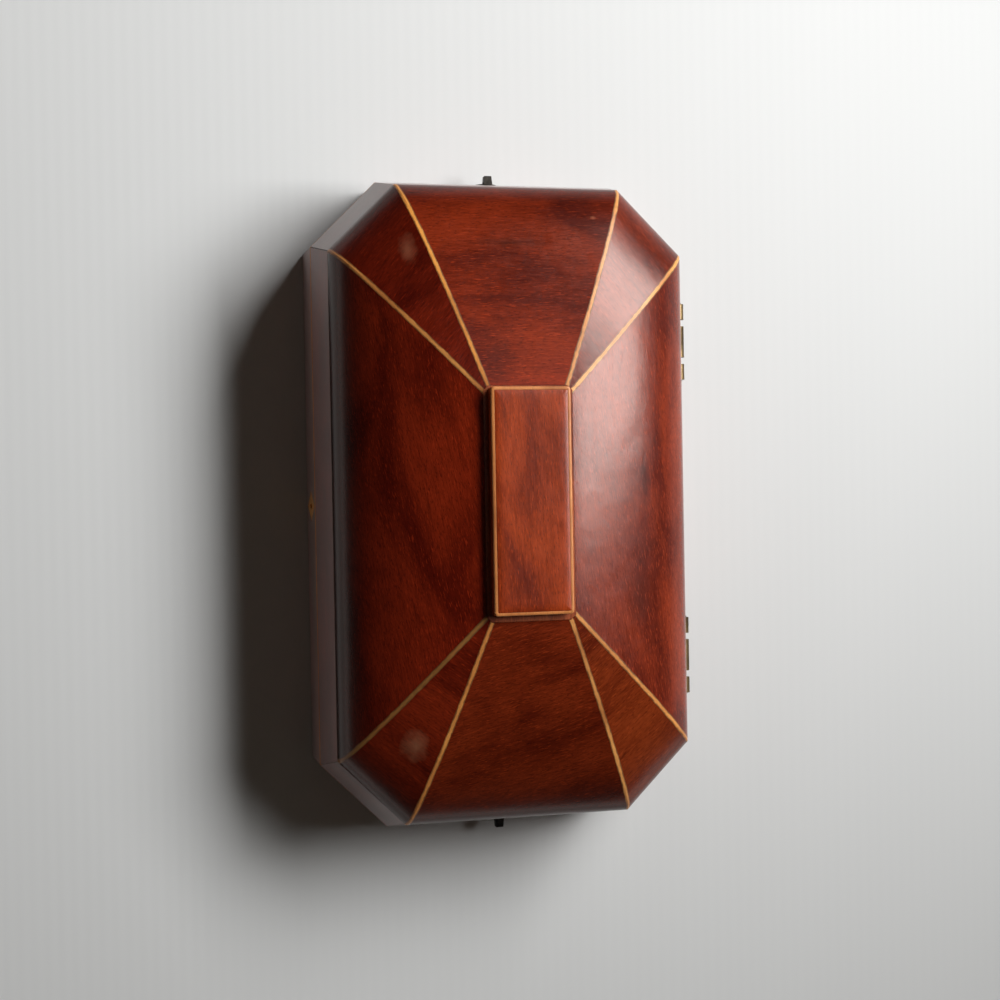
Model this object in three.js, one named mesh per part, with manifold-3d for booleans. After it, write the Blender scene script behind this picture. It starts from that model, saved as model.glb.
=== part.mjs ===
// Octagonal jewelry box: a shallow case with canted corners, and a hinged lid with a sloping band,
// eight domed panels with a pale strip in every mitre, and a raised flat tablet on top.
// Millimetres, +Z up. The origin is the centre of the case's flat underside, -Y is the front with
// the keyhole, +Y the back with the hinges, and +X the right end.

import * as THREE from "three";
import { mergeVertices } from "three/addons/utils/BufferGeometryUtils.js";
import Module from "manifold-3d";

const wasm = await Module();
wasm.setup();

// Case: outer half sizes at the line where it meets the lid, and the cut at each corner
const caseHalfLength = 154.8;
const caseHalfWidth = 90.8;
const cornerCut = 31.5;
const caseHeight = 28;
const wallThickness = 9;
const baseThickness = 6;
const baseRebate = 5;
const padThickness = 3.5;

// Lid: a band that leans outward going down, and the dome above it
const lidGap = 0.4;
const domeBase = 50.5;
const bandLean = 4.8;
const domeHeight = 33;
const domeTopHalfLength = 54;
const domeTopHalfWidth = 21.2;
const domeTopCut = 2.4;
const domeShoulder = 1.1;
const domeRoundness = 2.2;
const domeSteps = 14;
const crownThickness = 7;
const panelInset = 0.108;

// Tablet on the crown of the dome, set a little towards the left end
const tabletHalfLength = 52;
const tabletHalfWidth = 18.8;
const tabletHeight = 6;
const tabletShift = -1.2;

// Pale stringing: in the dome's mitres, round the tablet and round the case's top edge
const hipStringWidth = 1.8;
const edgeString = 1.5;
const rimStringHeight = 1.8;

// Keyhole plate and lock in the front wall
const plateHalfWidth = 7.3;
const plateHalfHeight = 11;
const plateThickness = 1.5;
const plateCentre = 14;
const keyholeRadius = 1.7;
const keyholeHeight = 16;
const keyholeFoot = 10;
const keyholeSlot = 1.7;
const lockHalfWidth = 17;
const lockFlange = 3.4;
const lockBottom = 8.6;
const lockDepth = 5.2;
const lockPlate = 1;
const boltHeight = 21.5;
const boltThickness = 1.1;
const boltHalfHeight = 1.4;
const boltLength = 11.8;
const boltTravel = 4.6;
const boltPastStaple = 1.6;
const linkHalfLength = 13;
const linkHalfWidth = 2.9;
const linkThickness = 1;
const stapleDepth = 9.6;
const stapleHalf = 0.8;
const stapleHalfDepth = 1.6;
const fittingSeat = 0.1;

// Two brass butt hinges at the back
const hingePlace = 78.7;
const hingeHalfLength = 18.9;
const knuckleRadius = 2.7;
const knuckleStandOff = 0.6;
const middleKnuckle = 15.6;
const knuckleGap = 3.3;
const pinRadius = 1.1;
const leafThickness = 1.2;
const leafReach = 7.3;
const screwSpacing = 12.5;
const leafSeat = 0.05;

// Drop rings on the two ends
const ringHeight = 14;
const ringRadius = 5.4;
const ringWire = 0.75;
const ringStandOff = 2.6;
const postLength = 7;
const postBaseWidth = 4.7;
const postTipWidth = 3.6;

// Clearances: between glued pieces, and between pieces that fit with play. A cutter runs past the
// face it opens by the last of these.
const glueLine = 0.15;
const play = 0.3;
const past = 1;

const sideNames = [
  "front", "front_right", "right_end", "back_right", "back", "back_left", "left_end", "front_left",
];
const frontSide = 0;
const rightSide = 2;
const backSide = 4;
const leftSide = 6;

const partingTop = caseHeight + lidGap;
const hingeY = caseHalfWidth + knuckleStandOff + knuckleRadius;
const hingeZ = caseHeight + lidGap / 2;
const innerFace = caseHalfWidth - wallThickness;
const leafCentre = caseHalfWidth - leafReach / 2;
const lockMiddle = -(innerFace + lockDepth / 2 + lockPlate / 2);

// Materials
const material = (color, roughness, metalness) =>
  new THREE.MeshStandardMaterial({ color, roughness, metalness });
const darkWood = material(0x6f220e, 0.3, 0);
const tabletWood = material(0x84321a, 0.3, 0);
const innerWood = material(0x8a4a2a, 0.55, 0);
const paleWood = material(0xd99a5b, 0.4, 0);
const baize = material(0x4a1018, 0.95, 0);
const brass = material(0x9c7c4a, 0.35, 1);
const steel = material(0x8a8a88, 0.35, 1);
const blackIron = material(0x2c2a28, 0.5, 1);

// Closed geometry as a solid that can be joined and cut, and back again
function solid(geometry) {
  const bare = geometry.clone();
  bare.deleteAttribute("normal");
  bare.deleteAttribute("uv");
  const merged = mergeVertices(bare, 1e-4);
  const vertProperties = merged.attributes.position.array;
  const triVerts = new Uint32Array(merged.index.array);
  return new wasm.Manifold(new wasm.Mesh({ numProp: 3, vertProperties, triVerts }));
}

function geometryOf(body) {
  const { vertProperties, triVerts, numProp } = body.getMesh();
  const places = [];
  for (let i = 0; i < vertProperties.length; i += numProp) {
    places.push(vertProperties[i], vertProperties[i + 1], vertProperties[i + 2]);
  }
  const geometry = new THREE.BufferGeometry();
  geometry.setAttribute("position", new THREE.Float32BufferAttribute(places, 3));
  geometry.setIndex(Array.from(triVerts));
  geometry.computeVertexNormals();
  return geometry;
}

const join = (...bodies) => bodies.reduce((whole, next) => whole.add(next));
const cut = (body, ...tools) => tools.reduce((rest, tool) => rest.subtract(tool), body);

// A block between two corners
function block([x0, x1], [y0, y1], [z0, z1]) {
  const box = new THREE.BoxGeometry(x1 - x0, y1 - y0, z1 - z0);
  box.translate((x0 + x1) / 2, (y0 + y1) / 2, (z0 + z1) / 2);
  return solid(box);
}

// A round bar from one point to another, which may taper
function bar(from, to, radius, endRadius = radius, sides = 16) {
  const start = new THREE.Vector3(...from);
  const run = new THREE.Vector3(...to).sub(start);
  const geometry = new THREE.CylinderGeometry(endRadius, radius, run.length(), sides);
  geometry.translate(0, run.length() / 2, 0);
  const upward = new THREE.Vector3(0, 1, 0);
  geometry.applyQuaternion(new THREE.Quaternion().setFromUnitVectors(upward, run.clone().normalize()));
  geometry.translate(start.x, start.y, start.z);
  return solid(geometry);
}

// A flat outline, with any holes, as a plate between two heights
function plate(outline, holes, low, high) {
  const shape = new THREE.Shape(outline);
  shape.holes = holes.map((hole) => new THREE.Path(hole));
  const geometry = new THREE.ExtrudeGeometry(shape, { depth: high - low, bevelEnabled: false });
  geometry.translate(0, 0, low);
  return solid(geometry);
}

// A closed body through a row of like loops, with both end loops filled by the same triangles
function loft(loops, fill) {
  const count = loops[0].length;
  const last = (loops.length - 1) * count;
  const triangles = [];
  for (let start = 0; start < last; start += count) {
    for (let i = 0; i < count; i += 1) {
      const a = start + i;
      const b = start + ((i + 1) % count);
      triangles.push([a, b, b + count], [a, b + count, a + count]);
    }
  }
  for (const [a, b, c] of fill) {
    triangles.push([c, b, a], [last + a, last + b, last + c]);
  }
  const points = loops.flat();
  let volume = 0;
  for (const [a, b, c] of triangles) {
    volume += points[a].dot(points[b].clone().cross(points[c]));
  }
  const facing = volume < 0 ? triangles.map(([a, b, c]) => [c, b, a]) : triangles;
  const vertProperties = new Float32Array(points.flatMap((p) => p.toArray()));
  const triVerts = new Uint32Array(facing.flat());
  return new wasm.Manifold(new wasm.Mesh({ numProp: 3, vertProperties, triVerts }));
}

// An octagon is held as the distance of each of its eight sides from the centre line
function octagon(halfLength, halfWidth, cornerSize) {
  const canted = (halfLength + halfWidth - cornerSize) / Math.SQRT2;
  return [0, 1, 2, 3].flatMap((k) => [k % 2 ? halfLength : halfWidth, canted]);
}
const inset = (reach, depth) => reach.map((r) => r - depth);
const between = (from, to, t) => from.map((r, k) => r + (to[k] - r) * t);

const eighthTurn = Math.PI / 4;
const outward = (side) => new THREE.Vector2(
  Math.cos(side * eighthTurn - Math.PI / 2),
  Math.sin(side * eighthTurn - Math.PI / 2),
);
const along = (side) => outward(side + 2);

// The corner that ends a side, going anticlockwise seen from above
function corner(reach, side) {
  const mine = reach[(side + 8) % 8];
  const next = reach[(side + 1) % 8];
  const run = (next - mine * Math.cos(eighthTurn)) / Math.sin(eighthTurn);
  return outward(side).multiplyScalar(mine).addScaledVector(along(side), run);
}
const corners = (reach) => sideNames.map((name, side) => corner(reach, side));

// One straight piece of an octagonal frame, mitred at both ends. Each point of its section is an
// octagon and a height, and both ends are trimmed back by a length measured along the piece.
function mitredPiece(side, section, startTrim, endTrim) {
  const direction = along(side);
  const end = (edge, trim) => section.map(({ reach, z }) => {
    const place = corner(reach, edge).addScaledVector(direction, trim);
    return new THREE.Vector3(place.x, place.y, z);
  });
  const outline = section.map(({ reach, z }) => new THREE.Vector2(reach[side], z));
  const fill = THREE.ShapeUtils.triangulateShape(outline, []);
  const facing = THREE.ShapeUtils.isClockWise(outline) ? fill.map(([a, b, c]) => [c, b, a]) : fill;
  return loft([end(side - 1, startTrim), end(side, -endTrim)], facing);
}

// Case octagons and lid octagons
const caseOuter = octagon(caseHalfLength, caseHalfWidth, cornerCut);
const domeOuter = octagon(caseHalfLength - bandLean, caseHalfWidth - bandLean, cornerCut);
const domeTop = octagon(domeTopHalfLength, domeTopHalfWidth, domeTopCut);

// The dome rises from its base octagon to the top one: t is 1 at the base and 0 at the top
const domeRise = (t) => Math.pow(Math.max(1 - Math.pow(t, domeShoulder), 0), 1 / domeRoundness);
const domeStep = (k) => 1 - Math.pow(1 - k / domeSteps, 2);
const innerEdge = 1 - panelInset;
const outerDomePoint = (t) => ({
  reach: between(domeTop, domeOuter, t),
  z: domeBase + glueLine + (domeHeight - glueLine) * domeRise(t),
});
const innerDomePoint = (t) => ({
  reach: between(domeTop, domeOuter, t * innerEdge),
  z: domeBase + glueLine + (domeHeight - crownThickness) * domeRise(t),
});

// Screws: a slotted countersunk head, with a plain shank in the wood
const screwHead = 2.1;
const screwShank = 0.9;
const screwLength = 7;
const screwSlot = 0.25;
function screw(x, y, z, direction) {
  const headDepth = leafThickness * direction;
  const tip = z + screwLength * direction;
  const head = bar([x, y, z], [x, y, z + headDepth], screwHead, screwShank, 12);
  const shank = bar([x, y, z + headDepth / 2], [x, y, tip], screwShank, screwShank / 2, 12);
  const slot = block(
    [x - screwHead, x + screwHead],
    [y - screwSlot, y + screwSlot],
    [z - screwSlot, z + screwSlot],
  );
  return cut(join(head, shank), slot);
}

function screwRoom(x, y, z, direction) {
  const tip = z + (screwLength + play) * direction;
  const mouth = z - play * direction;
  const sink = bar(
    [x, y, mouth], [x, y, z + (leafThickness + play) * direction],
    screwHead + play * 1.5, screwShank + play / 2, 12,
  );
  return join(sink, bar([x, y, mouth], [x, y, tip], screwShank + play / 2, screwShank + play / 2, 12));
}

const hingeScrews = [-screwSpacing, screwSpacing];
const hingeCentres = { left: -hingePlace, right: hingePlace };

// Hinge leaves: a flat plate let into the wood, with its knuckles round the pin outside the back
const lowerLeafTop = caseHeight - leafSeat;
const upperLeafLow = partingTop + leafSeat;
const pinHole = pinRadius + play;
function leafBody(centre, low, knuckles) {
  const back = caseHalfWidth - play;
  const flat = block(
    [centre - hingeHalfLength, centre + hingeHalfLength],
    [caseHalfWidth - leafReach, back],
    [low, low + leafThickness],
  );
  const tongues = knuckles.map(([from, to]) => join(
    block([centre + from, centre + to], [back - play, hingeY], [low, low + leafThickness]),
    bar([centre + from, hingeY, hingeZ], [centre + to, hingeY, hingeZ], knuckleRadius, knuckleRadius, 20),
  ));
  const bore = bar(
    [centre - hingeHalfLength - play, hingeY, hingeZ],
    [centre + hingeHalfLength + play, hingeY, hingeZ],
    pinHole,
  );
  return cut(join(flat, ...tongues), bore);
}

function lowerLeaf(centre) {
  const middle = [[-middleKnuckle / 2, middleKnuckle / 2]];
  const body = leafBody(centre, lowerLeafTop - leafThickness, middle);
  return cut(body, ...hingeScrews.map((x) => screwRoom(centre + x, leafCentre, lowerLeafTop, -1)));
}

function upperLeaf(centre) {
  const start = middleKnuckle / 2 + knuckleGap;
  const outer = [[-hingeHalfLength, -start], [start, hingeHalfLength]];
  const body = leafBody(centre, upperLeafLow, outer);
  return cut(body, ...hingeScrews.map((x) => screwRoom(centre + x, leafCentre, upperLeafLow, 1)));
}

const pinHeadRadius = 1.8;
const pinHeadLength = 0.8;
function hingePin(centre) {
  const reach = hingeHalfLength + play;
  const ends = [-1, 1].map((way) => bar(
    [centre + way * reach, hingeY, hingeZ],
    [centre + way * (reach + pinHeadLength), hingeY, hingeZ],
    pinHeadRadius, pinRadius,
  ));
  return join(bar([centre - reach, hingeY, hingeZ], [centre + reach, hingeY, hingeZ], pinRadius), ...ends);
}

// The pocket for a leaf, cut right out through the back of the piece that holds it
function leafPocket(centre, low, high) {
  return block(
    [centre - hingeHalfLength - glueLine, centre + hingeHalfLength + glueLine],
    [caseHalfWidth - leafReach - glueLine, caseHalfWidth + play],
    [low, high],
  );
}

const onHinges = (make) => Object.values(hingeCentres).flatMap(make);
const lowerScrewPlaces = onHinges((c) => hingeScrews.map((x) => [c + x, leafCentre, lowerLeafTop, -1]));
const upperScrewPlaces = onHinges((c) => hingeScrews.map((x) => [c + x, leafCentre, upperLeafLow, 1]));

// Keyhole plate: a diamond of pale wood, let flush into the front wall
function diamond(halfWidth, halfHeight) {
  return [[-halfWidth, 0], [0, -halfHeight], [halfWidth, 0], [0, halfHeight]]
    .map(([x, z]) => new THREE.Vector2(x, z + plateCentre));
}

function keyhole() {
  const slotHalf = keyholeSlot / 2;
  const shoulder = Math.asin(slotHalf / keyholeRadius);
  const steps = 12;
  const points = [new THREE.Vector2(-slotHalf, keyholeFoot), new THREE.Vector2(slotHalf, keyholeFoot)];
  for (let i = 0; i <= steps; i += 1) {
    const turn = -Math.PI / 2 + shoulder + (i / steps) * 2 * (Math.PI - shoulder);
    const x = keyholeRadius * Math.cos(turn);
    points.push(new THREE.Vector2(x, keyholeHeight + keyholeRadius * Math.sin(turn)));
  }
  return points;
}

// Stands a plate drawn in X and Z upright, from the front face inward
function upright(outline, holes, front, back) {
  return plate(outline, holes, -back, -front).rotate([90, 0, 0]);
}

function keyholePlate() {
  const front = -caseHalfWidth;
  return upright(
    diamond(plateHalfWidth, plateHalfHeight),
    [keyhole()],
    front,
    front + plateThickness,
  );
}

// Lock: a plate on the inner face, a shallow box behind it, and two lugs that guide the bolt
const lockFace = -innerFace - glueLine;
const lockBack = -innerFace - lockDepth;
const lockTop = caseHeight - fittingSeat;
const boltEnd = stapleHalf + boltPastStaple - boltTravel;
const lugPlace = [-6.5, -4];
const lugHeight = 1.2;

function lockCase() {
  const face = block(
    [-lockHalfWidth - lockFlange, lockHalfWidth + lockFlange],
    [lockFace - lockPlate, lockFace],
    [lockBottom, lockTop],
  );
  const shell = cut(
    block([-lockHalfWidth, lockHalfWidth], [lockBack + glueLine, lockFace], [lockBottom, lockTop]),
    block(
      [-lockHalfWidth + lockPlate, lockHalfWidth - lockPlate],
      [lockBack - past, lockFace - lockPlate],
      [lockBottom + lockPlate, lockTop - lockPlate],
    ),
  );
  const lugEnd = lockMiddle - boltThickness;
  const clear = boltHalfHeight + play;
  const lugs = [boltHeight - clear - lugHeight, boltHeight + clear].map(
    (low) => block(lugPlace, [lugEnd, lockFace - lockPlate / 2], [low, low + lugHeight]),
  );
  const slot = block(
    [-stapleHalf - play, stapleHalf + play],
    [lockBack - past, lockMiddle + stapleHalfDepth + play],
    [lockTop - lockPlate * 1.5, lockTop + past],
  );
  return cut(join(face, shell, ...lugs), slot, ...lockScrewRooms());
}

// Countersunk holes for two small screws through the flange into the wall, along Y
const lockScrewPlace = lockHalfWidth + lockFlange / 2;
const lockScrewHeight = 13.6;
const lockScrewHead = 1.3;
const lockScrewShank = 0.7;
const lockScrewLength = 4.5;
const lockScrewRooms = () => [-1, 1].map((way) => lockScrewRoom(way * lockScrewPlace, lockScrewHeight));
function lockScrewRoom(x, z) {
  const sink = bar(
    [x, lockFace + play, z], [x, lockFace - lockPlate - play, z],
    lockScrewHead + play * 1.5, lockScrewShank + glueLine, 12,
  );
  const hole = bar(
    [x, lockFace, z], [x, lockFace - lockScrewLength - play, z],
    lockScrewShank + glueLine, lockScrewShank + glueLine, 12,
  );
  return join(sink, hole);
}

// The bolt slides along X under the key, and its nose passes through the staple of the lid
const talonPlace = [-13.6, -11.6];
const talonDrop = 3;
function lockBolt() {
  const depth = [lockMiddle - boltThickness / 2, lockMiddle + boltThickness / 2];
  const low = boltHeight - boltHalfHeight;
  const stem = block([boltEnd - boltLength, boltEnd], depth, [low, boltHeight + boltHalfHeight]);
  return join(stem, block(talonPlace, depth, [low - talonDrop, boltHeight]));
}

// The lid's link plate, let into the band's underside, with the staple that drops into the lock
const linkLow = partingTop + fittingSeat;
const linkScrewPlace = 9;
const linkScrewRooms = () => [-1, 1].map((way) => screwRoom(way * linkScrewPlace, lockMiddle, linkLow, 1));
function linkPlate() {
  const flat = block(
    [-linkHalfLength, linkHalfLength],
    [lockMiddle - linkHalfWidth, lockMiddle + linkHalfWidth],
    [linkLow, linkLow + linkThickness],
  );
  const staple = block(
    [-stapleHalf, stapleHalf],
    [lockMiddle - stapleHalfDepth, lockMiddle + stapleHalfDepth],
    [linkLow - stapleDepth, linkLow + linkThickness / 2],
  );
  const eyeHalfDepth = boltThickness / 2 + play;
  const eyeHalfHeight = boltHalfHeight + play * 1.5;
  const eye = block(
    [-2 * stapleHalf, 2 * stapleHalf],
    [lockMiddle - eyeHalfDepth, lockMiddle + eyeHalfDepth],
    [boltHeight - eyeHalfHeight, boltHeight + eyeHalfHeight],
  );
  return cut(join(flat, staple), eye, ...linkScrewRooms());
}

// Walls of the case: rebated below for the base board and above for the stringing
function wallSection() {
  const string = edgeString + glueLine;
  const ledge = caseHeight - rimStringHeight - glueLine;
  const baseTop = baseThickness + glueLine;
  return [
    [0, 0], [baseRebate, 0], [baseRebate, baseTop], [wallThickness, baseTop],
    [wallThickness, caseHeight], [string, caseHeight], [string, ledge], [0, ledge],
  ].map(([depth, z]) => ({ reach: inset(caseOuter, depth), z }));
}

const mitredWall = (side) => mitredPiece(side, wallSection(), glueLine, glueLine);

function frontWall() {
  const front = -caseHalfWidth;
  const recess = upright(
    diamond(plateHalfWidth + glueLine, plateHalfHeight + glueLine * 1.5), [],
    front - past, front + plateThickness + glueLine,
  );
  const keyway = upright(keyhole(), [], front - past, past - innerFace);
  const lockRoom = block(
    [-lockHalfWidth - glueLine, lockHalfWidth + glueLine],
    [lockBack, past - innerFace],
    [lockBottom - glueLine, caseHeight + past],
  );
  const flangeRoom = block(
    [-lockHalfWidth - lockFlange - glueLine, lockHalfWidth + lockFlange + glueLine],
    [lockFace - lockPlate - glueLine, past - innerFace],
    [lockBottom - glueLine, caseHeight + past],
  );
  return cut(mitredWall(frontSide), recess, keyway, lockRoom, flangeRoom, ...lockScrewRooms());
}

const lowerPocket = (c) => leafPocket(c, lowerLeafTop - leafThickness - glueLine, caseHeight + past);
const lowerPockets = () => onHinges((c) => [lowerPocket(c)]);
function backWall() {
  const screws = lowerScrewPlaces.map((place) => screwRoom(...place));
  return cut(mitredWall(backSide), ...lowerPockets(), ...screws);
}

const shankRadius = 1.3;
const shankLength = 6.3;
function endWall(side) {
  const way = side === rightSide ? 1 : -1;
  const hole = bar(
    [way * (caseHalfLength + past), 0, ringHeight],
    [way * (caseHalfLength - shankLength - play), 0, ringHeight],
    shankRadius + glueLine,
  );
  return cut(mitredWall(side), hole);
}

const makeWall = {
  [frontSide]: frontWall,
  [backSide]: backWall,
  [rightSide]: () => endWall(rightSide),
  [leftSide]: () => endWall(leftSide),
};

const baseBoard = () => plate(corners(inset(caseOuter, baseRebate + glueLine)), [], 0, baseThickness);

function floorPad() {
  const rim = inset(caseOuter, wallThickness + play);
  return plate(corners(rim), [], baseThickness + play, baseThickness + play + padThickness);
}

function rimStringing() {
  const ring = plate(
    corners(caseOuter),
    [corners(inset(caseOuter, edgeString))],
    caseHeight - rimStringHeight,
    caseHeight,
  );
  return cut(ring, ...lowerPockets());
}

// Lid band: it leans in going up, and its inner face meets the inside of the dome
function bandSection() {
  const top = domeBase - glueLine;
  return [
    { reach: caseOuter, z: partingTop },
    { reach: inset(caseOuter, wallThickness), z: partingTop },
    { reach: between(domeTop, domeOuter, innerEdge), z: top },
    { reach: domeOuter, z: top },
  ];
}

const mitredBand = (side) => mitredPiece(side, bandSection(), glueLine, glueLine);

function frontBand() {
  const room = block(
    [-linkHalfLength - glueLine, linkHalfLength + glueLine],
    [lockMiddle - linkHalfWidth - glueLine, past - innerFace],
    [partingTop - past, linkLow + linkThickness + glueLine],
  );
  return cut(mitredBand(frontSide), room, ...linkScrewRooms());
}

const upperPocket = (c) => leafPocket(c, partingTop - past, upperLeafLow + leafThickness + glueLine);
function backBand() {
  const screws = upperScrewPlaces.map((place) => screwRoom(...place));
  return cut(mitredBand(backSide), ...onHinges((c) => [upperPocket(c)]), ...screws);
}

const makeBand = { [frontSide]: frontBand, [backSide]: backBand };

// The mitre line of the dome that ends a side, in plan, and how far along a side a plane lies
// that is parallel to this line and a given distance from it
const hipLine = (side) => corner(domeOuter, side).sub(corner(domeTop, side)).normalize();
const trimFor = (side, hip, distance) => distance / Math.abs(along(side).cross(hipLine(hip)));

function domePanel(side) {
  const steps = Array.from({ length: domeSteps + 1 }, (item, k) => domeStep(k));
  const section = [
    ...steps.map(outerDomePoint),
    ...steps.toReversed().map(innerDomePoint),
  ];
  const half = hipStringWidth / 2 + glueLine;
  return mitredPiece(side, section, trimFor(side, side - 1, half), trimFor(side, side, half));
}

// A pale strip that fills the mitre at the end of a side, flush with the panels beside it
function hipString(side) {
  const before = along(side).multiplyScalar(-trimFor(side, side, hipStringWidth / 2));
  const after = along(side + 1).multiplyScalar(trimFor(side + 1, side, hipStringWidth / 2));
  const across = ({ reach, z }) => {
    const hip = corner(reach, side);
    return [hip.clone().add(before), hip, hip.clone().add(after)]
      .map((place) => new THREE.Vector3(place.x, place.y, z));
  };
  const loops = [];
  for (let k = 0; k <= domeSteps; k += 1) {
    const t = domeStep(k);
    loops.push([...across(outerDomePoint(t)), ...across(innerDomePoint(t)).reverse()]);
  }
  return loft(loops, [[0, 1, 4], [0, 4, 5], [1, 2, 3], [1, 3, 4]]);
}

const crownTop = domeBase + domeHeight;
const crownBoard = () => plate(
  corners(inset(domeTop, glueLine)), [], crownTop - crownThickness + glueLine, crownTop,
);

function rectangle(halfLength, halfWidth) {
  return [[-1, -1], [1, -1], [1, 1], [-1, 1]]
    .map(([x, y]) => new THREE.Vector2(tabletShift + x * halfLength, y * halfWidth));
}

function tablet() {
  const low = crownTop + glueLine;
  const high = crownTop + tabletHeight;
  const shelf = high - edgeString - glueLine;
  const step = edgeString + glueLine;
  return join(
    plate(rectangle(tabletHalfLength, tabletHalfWidth), [], low, shelf),
    plate(rectangle(tabletHalfLength - step, tabletHalfWidth - step), [], shelf - past, high),
  );
}

function tabletStringing() {
  const high = crownTop + tabletHeight;
  return plate(
    rectangle(tabletHalfLength, tabletHalfWidth),
    [rectangle(tabletHalfLength - edgeString, tabletHalfWidth - edgeString)],
    high - edgeString,
    high,
  );
}

// A square, tapered post with an eye for the ring, built for the end that the sign says
const ringX = caseHalfLength + ringStandOff;
const eyeRadius = 1.5;
function post(way) {
  const near = caseHalfLength + glueLine;
  const square = (x, half) => [[-1, -1], [1, -1], [1, 1], [-1, 1]]
    .map(([y, z]) => new THREE.Vector3(way * x, y * half, ringHeight + z * half));
  const head = loft(
    [square(near, postBaseWidth / 2), square(caseHalfLength + postLength, postTipWidth / 2)],
    [[0, 1, 2], [0, 2, 3]],
  );
  const shank = bar(
    [way * (near + play), 0, ringHeight],
    [way * (caseHalfLength - shankLength), 0, ringHeight],
    shankRadius,
  );
  const eye = bar(
    [way * ringX, -postBaseWidth, ringHeight],
    [way * ringX, postBaseWidth, ringHeight],
    eyeRadius,
  );
  return cut(join(head, shank), eye);
}

function dropRing(way) {
  const torus = new THREE.TorusGeometry(ringRadius, ringWire, 8, 32);
  torus.rotateY(Math.PI / 2);
  torus.translate(way * ringX, 0, ringHeight - ringRadius);
  return solid(torus);
}

// The finished box: one named mesh for each piece
const jewelryBox = new THREE.Group();
function place(name, body, finish) {
  const mesh = new THREE.Mesh(geometryOf(body), finish);
  mesh.name = name;
  jewelryBox.add(mesh);
}

place("base_board", baseBoard(), innerWood);
place("floor_pad", floorPad(), baize);
sideNames.forEach((name, side) => {
  const wall = makeWall[side] ?? (() => mitredWall(side));
  const band = makeBand[side] ?? (() => mitredBand(side));
  place(`${name}_wall`, wall(), darkWood);
  place(`${name}_lid_band`, band(), darkWood);
  place(`${name}_dome_panel`, domePanel(side), darkWood);
  place(`hip_stringing_${side + 1}`, hipString(side), paleWood);
});
place("rim_stringing", rimStringing(), paleWood);
place("crown_board", crownBoard(), darkWood);
place("tablet", tablet(), tabletWood);
place("tablet_stringing", tabletStringing(), paleWood);

place("keyhole_plate", keyholePlate(), paleWood);
place("lock_case", lockCase(), brass);
place("lock_bolt", lockBolt(), steel);
place("link_plate", linkPlate(), brass);

for (const [end, centre] of Object.entries(hingeCentres)) {
  place(`${end}_hinge_lower_leaf`, lowerLeaf(centre), brass);
  place(`${end}_hinge_upper_leaf`, upperLeaf(centre), brass);
  place(`${end}_hinge_pin`, hingePin(centre), steel);
}
lowerScrewPlaces.forEach((at, i) => place(`lower_hinge_screw_${i + 1}`, screw(...at), brass));
upperScrewPlaces.forEach((at, i) => place(`upper_hinge_screw_${i + 1}`, screw(...at), brass));

for (const [end, way] of [["left", -1], ["right", 1]]) {
  place(`${end}_ring_post`, post(way), blackIron);
  place(`${end}_drop_ring`, dropRing(way), blackIron);
}

export default jewelryBox;
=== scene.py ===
# Octagonal jewelry box: a shallow case with canted corners under a hinged, domed lid, in polished
# reddish wood with pale stringing in the mitres of the dome. +Z is up, -Y is the front with the
# keyhole and +X the right end. Sizes of the pieces are in millimetres, like the maker's own.

import math

import bmesh
import bpy
from mathutils import Euler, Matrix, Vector, noise


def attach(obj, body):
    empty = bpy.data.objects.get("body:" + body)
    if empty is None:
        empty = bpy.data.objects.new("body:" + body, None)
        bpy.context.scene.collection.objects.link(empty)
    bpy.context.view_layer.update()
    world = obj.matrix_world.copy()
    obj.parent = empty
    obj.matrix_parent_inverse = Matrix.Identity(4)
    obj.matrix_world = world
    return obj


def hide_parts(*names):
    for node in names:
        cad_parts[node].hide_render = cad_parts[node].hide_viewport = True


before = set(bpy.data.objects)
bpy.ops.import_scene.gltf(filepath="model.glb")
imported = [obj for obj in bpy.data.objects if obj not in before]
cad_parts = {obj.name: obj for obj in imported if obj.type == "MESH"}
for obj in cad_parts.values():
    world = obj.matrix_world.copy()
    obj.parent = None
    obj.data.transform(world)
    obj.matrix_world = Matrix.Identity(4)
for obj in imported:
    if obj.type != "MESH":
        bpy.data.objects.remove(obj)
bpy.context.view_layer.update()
scene = bpy.context.scene
scene.view_settings.view_transform = "Standard"


# Camera: a little over 80 cm above the table, standing on the keyhole side and looking down, so
# that the left end of the box is at the top of the picture.
lens = bpy.data.cameras.new("camera")
lens.sensor_width = 36
lens.lens = 59.4
camera = bpy.data.objects.new("camera", lens)
camera.location = (-0.01036, -0.19961, 0.81094)
camera.rotation_euler = Euler([math.radians(a) for a in (-0.3821, -14.3154, 88.9145)])
scene.collection.objects.link(camera)
scene.camera = camera


# Light: one window beyond the hinges, wide and set towards the left end of the box, where it stands
# a little higher, and a dim room with pale walls.
def window(name, place, size, power, lean):
    lamp = bpy.data.lights.new(name, "AREA")
    lamp.shape = "RECTANGLE"
    lamp.size, lamp.size_y = size
    lamp.energy = power
    light = bpy.data.objects.new(name, lamp)
    light.location = place
    light.rotation_euler = Euler((math.radians(-90), math.radians(lean), 0))
    scene.collection.objects.link(light)


window("back_window", (-0.66, 0.74, 0.92), (1.36, 0.57), 38, lean=13)


def feed(tree, node, inputs):
    """Gives a node its inputs, by name or number, each a value or another node's output."""
    for key, value in inputs.items():
        if isinstance(value, bpy.types.NodeSocket):
            tree.links.new(value, node.inputs[key])
        else:
            node.inputs[key].default_value = value


def add_node(tree, kind, inputs, **settings):
    node = tree.nodes.new(kind)
    for setting, value in settings.items():
        setattr(node, setting, value)
    feed(tree, node, inputs)
    return node


def node_value(tree, kind, *values):
    """The result of a sum on numbers or other nodes' outputs."""
    return add_node(tree, "ShaderNodeMath", dict(enumerate(values)), operation=kind).outputs[0]


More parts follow.
